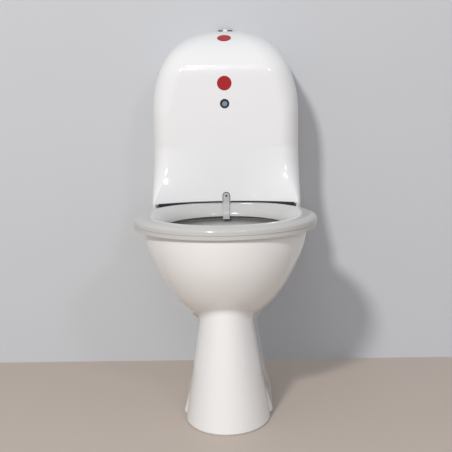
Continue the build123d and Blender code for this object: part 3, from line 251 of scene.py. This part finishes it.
def shade_band(material, low_z, high_z, level):
    """Paints shade into a finish: darkens it to a level between two heights, and keeps it dark
    above them.
    """
    tree = material.node_tree
    body = tree.nodes["Principled BSDF"]
    tone = body.inputs["Base Color"].links[0].from_socket
    place = add_node(tree, "ShaderNodeTexCoord")
    height = add_node(tree, "ShaderNodeSeparateXYZ", links={"Vector": (place, "Object")})
    fall = add_node(
        tree,
        "ShaderNodeMapRange",
        inputs={"From Min": low_z, "From Max": high_z, "To Min": 1.0, "To Max": level},
        links={"Value": (height, "Z")},
    )
    shaded = add_node(
        tree,
        "ShaderNodeVectorMath",
        settings={"operation": "SCALE"},
        links={"Scale": (fall, "Result")},
    )
    tree.links.new(tone, shaded.inputs[0])
    tree.links.new(shaded.outputs["Vector"], body.inputs["Base Color"])


def dress_faces(node_name, material, chosen):
    """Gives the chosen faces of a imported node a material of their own."""
    mesh = frame["nodes"][node_name].data
    mesh.materials.append(material)
    for face in mesh.polygons:
        if chosen(face):
            face.material_index = len(mesh.materials) - 1


def in_bowl(face):
    """Whether a face of the pan is inside the bowl."""
    away = Vector((face.center.x, face.center.y - BOWL_Y, 0))
    inside = away.length < BOWL_REACH and face.center.z > BOWL_LOW_Z
    return inside and face.normal.dot(away) < 0


def over_crest(face):
    """Whether a face of the back plate is on the catch's lip over the cover's crest."""
    return face.center.z > CREST_Z


def nodes_of(slot_name):
    """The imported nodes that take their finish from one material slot."""
    parts = frame["record"]["subparts"]
    return [part["node"] for part in parts if part["material_slot"] == slot_name]


# Each slot's finish: name, colour, metal, roughness, relief width and height, tone, its width.
# The colours are those of the common stock of each material.
HIDDEN_FINISHES = {
    # Acetal: waxy natural white
    "slip_plastic": ("acetal_natural", "#DDDCD6", 0, 0.42, 0.6, 0.006, 0.05, 14),
    # Polyamide with a warm cast, satin from the moulding tool
    "gear_plastic": ("polyamide_natural", "#D8D2C2", 0, 0.38, 0.5, 0.008, 0.06, 12),
    # Nitrile rubber: matt black with a fine bloom
    "black_rubber": ("nitrile_rubber_black", "#262626", 0, 0.72, 0.4, 0.02, 0.25, 9),
    # Zinc plated steel: satin with cloudy patches
    "steel": ("zinc_plated_steel", "#B9BBBD", 1, 0.32, 0.8, 0.004, 0.16, 7),
    "dark_steel": ("blackened_steel", "#3A3A3C", 1, 0.38, 0.6, 0.004, 0.2, 5),
    "motor_steel": ("drawn_steel", "#A9AAAC", 1, 0.28, 1.2, 0.003, 0.12, 11),
    "zinc_sheet": ("coated_steel_sheet", "#B4B6B8", 0.6, 0.42, 1.5, 0.006, 0.1, 18),
    # Glass filled polyamide: black, matt, slightly mottled
    "dark_plastic": ("filled_polyamide_black", "#2E2E31", 0, 0.55, 0.5, 0.015, 0.2, 8),
    # Polypropylene blow and injection mouldings
    "tank_plastic": ("polypropylene_grey_white", "#CDCDCB", 0, 0.45, 2.2, 0.02, 0.05, 45),
    "valve_plastic": ("acetal_pale_blue", "#AFC1CE", 0, 0.4, 0.7, 0.008, 0.06, 16),
    "brass": ("machined_brass", "#C9A45C", 1, 0.3, 0.7, 0.003, 0.12, 6),
    "bottle_plastic": ("polyethylene_milky", "#D9DFE3", 0, 0.4, 3.0, 0.03, 0.06, 25),
    "tube_plastic": ("silicone_tube_milky", "#DAD9D2", 0, 0.3, 1.0, 0.006, 0.05, 9),
    # Glass fibre board under green solder mask
    "board_green": ("solder_mask_green", "#1F6B3E", 0, 0.3, 1.6, 0.02, 0.3, 5),
}


class TOILET_OT_hidden_finishes(bpy.types.Operator):
    """Gives every piece of the works its finish"""

    bl_idname = "toilet.hidden_finishes"
    bl_label = "Finish the works"

    def execute(self, context):
        for slot_name, row in HIDDEN_FINISHES.items():
            name, hex_colour, metal, roughness, width, height, tone, tone_width = row
            material = finish_material(
                name,
                linear(hex_colour),
                {"Metallic": metal, "Roughness": roughness},
                pattern_mm=width,
                relief_mm=height,
                tone=tone,
                tone_mm=tone_width,
            )
            for node_name in nodes_of(slot_name):
                dress(node_name, material)
        # The catch's lip shows as a thin dark line over the cover's crest
        dress_faces("back_plate", bpy.data.materials["blackened_steel"], over_crest)
        return {"FINISHED"}


class TOILET_OT_pan(bpy.types.Operator):
    """Glazes the china pan"""

    bl_idname = "toilet.pan"
    bl_label = "Glaze the pan"

    def execute(self, context):
        colours = context.scene.toilet_colours
        # Vitreous china: a clear glaze over a white body, with a slow wave in the glaze
        china = finish_material(
            "vitreous_china_glazed",
            colours.china,
            {"Roughness": 0.09, "IOR": 1.52, "Coat Weight": 0.35, "Coat Roughness": 0.03},
            pattern_mm=46,
            relief_mm=0.12,
            tone=0.025,
            tone_mm=90,
        )
        # The same china, with painted shade that stands for the shadow under the rim of the
        # bowl
        shaded = finish_material(
            "vitreous_china_painted_bowl_shade",
            colours.china,
            {"Roughness": 0.12, "IOR": 1.52},
            pattern_mm=46,
            relief_mm=0.12,
            tone=0.025,
            tone_mm=90,
        )
        start_z = RIM_HEIGHT - BOWL_SHADE_START
        shade_band(shaded, start_z, RIM_HEIGHT - BOWL_SHADE_FULL, BOWL_SHADE_LEVEL)
        for node_name in nodes_of("china"):
            dress(node_name, china)
            dress_faces(node_name, shaded, in_bowl)
        return {"FINISHED"}


class TOILET_OT_ring(bpy.types.Operator):
    """Finishes the turning ring and its tray"""

    bl_idname = "toilet.ring"
    bl_label = "Finish the ring"

    def execute(self, context):
        colours = context.scene.toilet_colours
        # Moulded ABS, light grey: glossy on the ring, satin on its tray
        glossy = finish_material(
            "moulded_abs_grey_gloss",
            colours.seat,
            {"Roughness": 0.16, "IOR": 1.53},
            pattern_mm=18,
            relief_mm=0.03,
            tone=0.02,
            tone_mm=60,
        )
        satin = finish_material(
            "moulded_abs_grey_satin",
            colours.seat,
            {"Roughness": 0.38, "IOR": 1.53},
            pattern_mm=1.2,
            relief_mm=0.01,
            tone=0.03,
            tone_mm=40,
        )
        for node_name in nodes_of("seat_plastic"):
            dress(node_name, glossy)
        for node_name in nodes_of("base_plastic"):
            dress(node_name, satin)
        return {"FINISHED"}


class TOILET_OT_cover(bpy.types.Operator):
    """Finishes the white moulded cover"""

    bl_idname = "toilet.cover"
    bl_label = "Finish the cover"

    def execute(self, context):
        colours = context.scene.toilet_colours
        # Moulded white ABS with a high gloss and a very slow wave from cooling
        white = finish_material(
            "moulded_abs_white_gloss",
            colours.cover,
            {"Roughness": 0.1, "IOR": 1.53},
            pattern_mm=70,
            relief_mm=0.06,
            tone=0.015,
            tone_mm=120,
        )
        for node_name in nodes_of("cover_plastic"):
            dress(node_name, white)
        return {"FINISHED"}


def meet(node_name, start, way):
    """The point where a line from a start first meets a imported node, or None."""
    hit, place, _, _ = frame["nodes"][node_name].ray_cast(Vector(start), Vector(way))
    return place if hit else None


class TOILET_OT_slot_shadow_strip(bpy.types.Operator):
    """Puts a dark strip on the cover's front edge, just clear of the ring: painted shadow that
    darkens the slot's gap
    """

    bl_idname = "toilet.lip"
    bl_label = "Put on the painted slot shadow"

    def execute(self, context):
        for name, side in (("slot_shadow_strip_left", -1), ("slot_shadow_strip_right", 1)):
            bpy.ops.object.select_all(action="DESELECT")
            bpy.ops.mesh.primitive_grid_add(x_subdivisions=SLOT_SHADOW_STEPS, y_subdivisions=1, size=1)
            shadow_strip = context.object
            shadow_strip.name = name
            for vertex in shadow_strip.data.vertices:
                along = SLOT_SHADOW_INNER + (vertex.co.x + 0.5) * (SLOT_SHADOW_OUTER - SLOT_SHADOW_INNER)
                across = side * along
                front = meet("cover", (across, RAY_START_Y, SLOT_SHADOW_TOP_Z), (0, 1, 0))
                depth = front.y - SLOT_SHADOW_THICK / 2
                below = meet("seat_ring", (across, depth, SLOT_SHADOW_TOP_Z), (0, 0, -1))
                low_z = max(below.z + SLOT_SHADOW_GAP, SLOT_SHADOW_LOW_Z) if below else SLOT_SHADOW_LOW_Z
                vertex.co = (across, depth, SLOT_SHADOW_TOP_Z if vertex.co.y > 0 else low_z)
            solid = shadow_strip.modifiers.new("thickness", "SOLIDIFY")
            solid.thickness = SLOT_SHADOW_THICK
            solid.offset = 0
            bevel = shadow_strip.modifiers.new("round", "BEVEL")
            bevel.width = SLOT_SHADOW_THICK / 4
            bevel.segments = 2
            for modifier in ("thickness", "round"):
                bpy.ops.object.modifier_apply(modifier=modifier)
            bpy.ops.object.mode_set(mode="EDIT")
            bpy.ops.mesh.select_all(action="SELECT")
            bpy.ops.mesh.normals_make_consistent()
            bpy.ops.object.mode_set(mode="OBJECT")
            bpy.ops.object.shade_smooth_by_angle(angle=SLOT_SHADOW_SMOOTH_ANGLE)
            # The black rubber finish paints the strip as the shadow in the slot's gap
            shadow_strip.data.materials.append(bpy.data.materials["nitrile_rubber_black"])
            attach(shadow_strip, "fixed")
        return {"FINISHED"}


class TOILET_OT_front_details(bpy.types.Operator):
    """Finishes the buttons, the sensor and the arm"""

    bl_idname = "toilet.front_details"
    bl_label = "Finish buttons, sensor and arm"

    def execute(self, context):
        colours = context.scene.toilet_colours
        # Moulded red ABS, glossy
        red = finish_material(
            "moulded_abs_red",
            colours.red,
            {"Roughness": 0.3, "IOR": 1.53, "Specular IOR Level": 0.25},
            pattern_mm=1.4,
            relief_mm=0.006,
            tone=0.06,
            tone_mm=12,
        )
        # Dark polycarbonate that frames the sensor
        rim = finish_material(
            "polycarbonate_dark",
            colours.sensor_rim,
            {"Roughness": 0.2, "IOR": 1.58},
            pattern_mm=0.8,
            relief_mm=0.004,
            tone=0.1,
            tone_mm=6,
        )
        # Tinted window with a pale bluish reflection
        window = finish_material(
            "tinted_window",
            colours.sensor_window,
            {"Roughness": 0.08, "IOR": 1.5, "Coat Weight": 0.6, "Coat Roughness": 0.03},
            pattern_mm=6,
            relief_mm=0.02,
            tone=0.25,
            tone_mm=4,
        )
        # Steel strip under light grey powder paint
        painted = finish_material(
            "painted_steel_grey",
            colours.arm,
            {"Roughness": 0.32, "IOR": 1.5},
            pattern_mm=0.9,
            relief_mm=0.012,
            tone=0.05,
            tone_mm=14,
        )
        finishes = {
            "red_plastic": red,
            "sensor_plastic": rim,
            "sensor_glass": window,
            "arm_metal": painted,
        }
        for slot_name, material in finishes.items():
            for node_name in nodes_of(slot_name):
                dress(node_name, material)
        return {"FINISHED"}


def seen_only(tree, surface):
    """Lets a backdrop's face show to the camera and in gloss, and light pass from behind it."""
    path = add_node(tree, "ShaderNodeLightPath")
    side = add_node(tree, "ShaderNodeNewGeometry")
    glossy = add_node(
        tree,
        "ShaderNodeMath",
        settings={"operation": "MAXIMUM"},
        links={0: (path, "Is Camera Ray"), 1: (path, "Is Glossy Ray")},
    )
    seen = add_node(
        tree,
        "ShaderNodeMath",
        settings={"operation": "MAXIMUM"},
        links={0: (glossy, "Value"), 1: (path, "Is Transmission Ray")},
    )
    front = add_node(
        tree,
        "ShaderNodeMath",
        settings={"operation": "SUBTRACT"},
        inputs={0: 1.0},
        links={1: (side, "Backfacing")},
    )
    shown = add_node(
        tree,
        "ShaderNodeMath",
        settings={"operation": "MULTIPLY"},
        links={0: (seen, "Value"), 1: (front, "Value")},
    )
    clear = add_node(tree, "ShaderNodeBsdfTransparent")
    mixed = add_node(tree, "ShaderNodeMixShader", links={0: (shown, "Value")})
    tree.links.new(clear.outputs[0], mixed.inputs[1])
    tree.links.new(surface.outputs[0], mixed.inputs[2])
    add_node(tree, "ShaderNodeOutputMaterial", links={"Surface": (mixed, "Shader")})


def add_plane(name, width, height, place, turn):
    """A flat stage piece, by its size, middle and turn about X."""
    bpy.ops.object.select_all(action="DESELECT")
    bpy.ops.mesh.primitive_plane_add(size=1, location=place, rotation=(turn, 0, 0))
    plane = bpy.context.object
    plane.name = name
    plane.scale = (width, height, 1)
    bpy.ops.object.transform_apply(location=True, rotation=True, scale=True)
    return plane


def add_area_lamp(name, place, target, wide, tall, watts, hex_colour):
    """A flat studio lamp that faces a target."""
    data = bpy.data.lights.new(name, "AREA")
    data.shape = "RECTANGLE"
    data.size = wide
    data.size_y = tall
    data.energy = watts
    data.color = linear(hex_colour)[:3]
    lamp = bpy.data.objects.new(name, data)
    lamp.location = place
    way = Vector(target) - Vector(place)
    lamp.rotation_euler = way.to_track_quat("-Z", "Y").to_euler()
    bpy.context.scene.collection.objects.link(lamp)
    return lamp


def add_paint(name, colour, roughness):
    """A plain paint for the stage: its material, tree and shader."""
    material, tree = new_material(name)
    surface = add_node(
        tree, "ShaderNodeBsdfPrincipled", inputs={"Base Color": colour, "Roughness": roughness}
    )
    return material, tree, surface


def add_floor(stage, colours):
    """The floor, just under the object."""
    floor = add_plane("floor", STAGE_WIDTH, STAGE_WIDTH, (0, 0, -stage.clearance), 0)
    paint, tree, surface = add_paint("pale_floor", colours.floor, 0.6)
    add_node(tree, "ShaderNodeOutputMaterial", links={"Surface": (surface, "BSDF")})
    floor.data.materials.append(paint)


def add_wall(stage, colours):
    """The wall, just behind the object. It can't be seen from behind."""
    place = (0, WALL_FACE + stage.clearance, WALL_MIDDLE_Z)
    wall = add_plane("wall", STAGE_WIDTH, WALL_TALL, place, math.pi / 2)
    paint, tree, surface = add_paint("wall_paint", colours.wall, 0.8)
    seen_only(tree, surface)
    wall.data.materials.append(paint)


def set_world(scene, colours):
    """Even light from all around, with the wall's colour as what the camera sees."""
    world = bpy.data.worlds.new("studio")
    scene.world = world
    world.use_nodes = True
    tree = world.node_tree
    tree.nodes.clear()
    path = add_node(tree, "ShaderNodeLightPath")
    light = add_node(
        tree,
        "ShaderNodeBackground",
        inputs={"Color": linear(WORLD_LIGHT), "Strength": WORLD_LEVEL},
    )
    backdrop = add_node(
        tree, "ShaderNodeBackground", inputs={"Color": colours.wall, "Strength": 1.0}
    )
    mixed = add_node(tree, "ShaderNodeMixShader", links={0: (path, "Is Camera Ray")})
    tree.links.new(light.outputs[0], mixed.inputs[1])
    tree.links.new(backdrop.outputs[0], mixed.inputs[2])
    add_node(tree, "ShaderNodeOutputWorld", links={"Surface": (mixed, "Shader")})


def add_camera(scene, stage):
    """The camera, at the photograph's place and angle."""
    data = bpy.data.cameras.new("camera")
    data.lens = stage.focal_pixels * data.sensor_width / stage.picture_side
    camera = bpy.data.objects.new("camera", data)
    turned = Matrix.Rotation(-stage.yaw, 4, "Z")
    turned @= Matrix.Rotation(math.pi / 2 - stage.pitch, 4, "X")
    turned @= Matrix.Rotation(-stage.roll, 4, "Z")
    camera.matrix_world = Matrix.Translation(stage.camera_place) @ turned
    scene.collection.objects.link(camera)
    scene.camera = camera


class TOILET_OT_stage(bpy.types.Operator):
    """Makes the floor, the wall, the lamps and the camera"""

    bl_idname = "toilet.stage"
    bl_label = "Set the stage"

    def execute(self, context):
        scene = context.scene
        add_floor(scene.toilet_stage, scene.toilet_colours)
        add_wall(scene.toilet_stage, scene.toilet_colours)
        for name, place, wide, tall, watts, hex_colour in LAMPS:
            add_area_lamp(name, place, (0, 0, RIM_HEIGHT), wide, tall, watts, hex_colour)
        set_world(scene, scene.toilet_colours)
        add_camera(scene, scene.toilet_stage)
        scene.view_settings.view_transform = "Standard"
        return {"FINISHED"}


class TOILET_PT_panel(bpy.types.Panel):
    """Lists the toilet's steps, colours and stage"""

    bl_label = "Automatic toilet"
    bl_idname = "TOILET_PT_panel"
    bl_space_type = "VIEW_3D"
    bl_region_type = "UI"
    bl_category = "Toilet"

    def draw(self, context):
        layout = self.layout
        for operator in OPERATORS:
            layout.operator(operator.bl_idname)
        for group in (context.scene.toilet_colours, context.scene.toilet_stage):
            for name in group.bl_rna.properties.keys():
                if name not in ("rna_type", "name"):
                    layout.prop(group, name)


OPERATORS = (
    TOILET_OT_hidden_finishes,
    TOILET_OT_pan,
    TOILET_OT_ring,
    TOILET_OT_cover,
    TOILET_OT_slot_shadow_strip,
    TOILET_OT_front_details,
    TOILET_OT_stage,
)
CLASSES = (ToiletColours, ToiletStage, *OPERATORS, TOILET_PT_panel)


def register():
    """Registers the classes and hangs the property groups on the scene."""
    for made in CLASSES:
        bpy.utils.register_class(made)
    bpy.types.Scene.toilet_colours = bpy.props.PointerProperty(type=ToiletColours)
    bpy.types.Scene.toilet_stage = bpy.props.PointerProperty(type=ToiletStage)


def unregister():
    """Takes the property groups and classes away again."""
    del bpy.types.Scene.toilet_stage
    del bpy.types.Scene.toilet_colours
    for made in reversed(CLASSES):
        bpy.utils.unregister_class(made)


def main():
    """Runs every step in order."""
    register()
    for operator in OPERATORS:
        group, name = operator.bl_idname.split(".")
        getattr(getattr(bpy.ops, group), name)()


if __name__ == "__main__":
    main()
